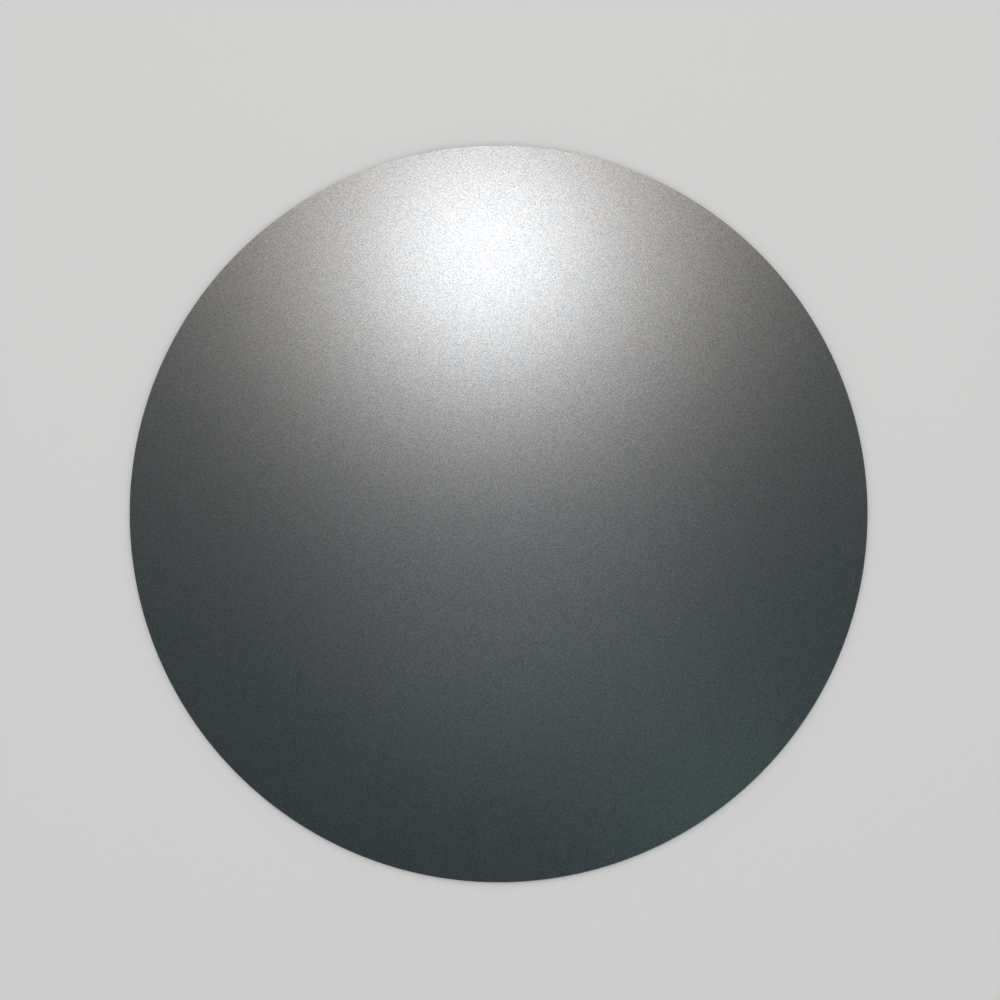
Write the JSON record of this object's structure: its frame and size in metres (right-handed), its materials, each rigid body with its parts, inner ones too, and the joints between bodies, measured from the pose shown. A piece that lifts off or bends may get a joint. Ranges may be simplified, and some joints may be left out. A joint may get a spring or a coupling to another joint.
{
  "type": "silicon wafer",
  "caption": "Thin round disc of silicon crystal with matte flat faces and a plain, square-cut rim. It lies flat on a chuck or stands in the slot of a carrier while circuits are made on it.",
  "frame": {"origin": "centre of the underside, on the disc's axis", "axes": "+Z along the disc's axis, from the underside to the upper face; the disc is the same all round, so +X and +Y are any two radii at right angles"},
  "size_m": [0.1, 0.1, 0.0005],
  "materials": {
    "etched_silicon": "matte, lapped and etched"
  },
  "bodies": {
    "root": {"wafer": "etched_silicon"}
  },
  "joints": []
}
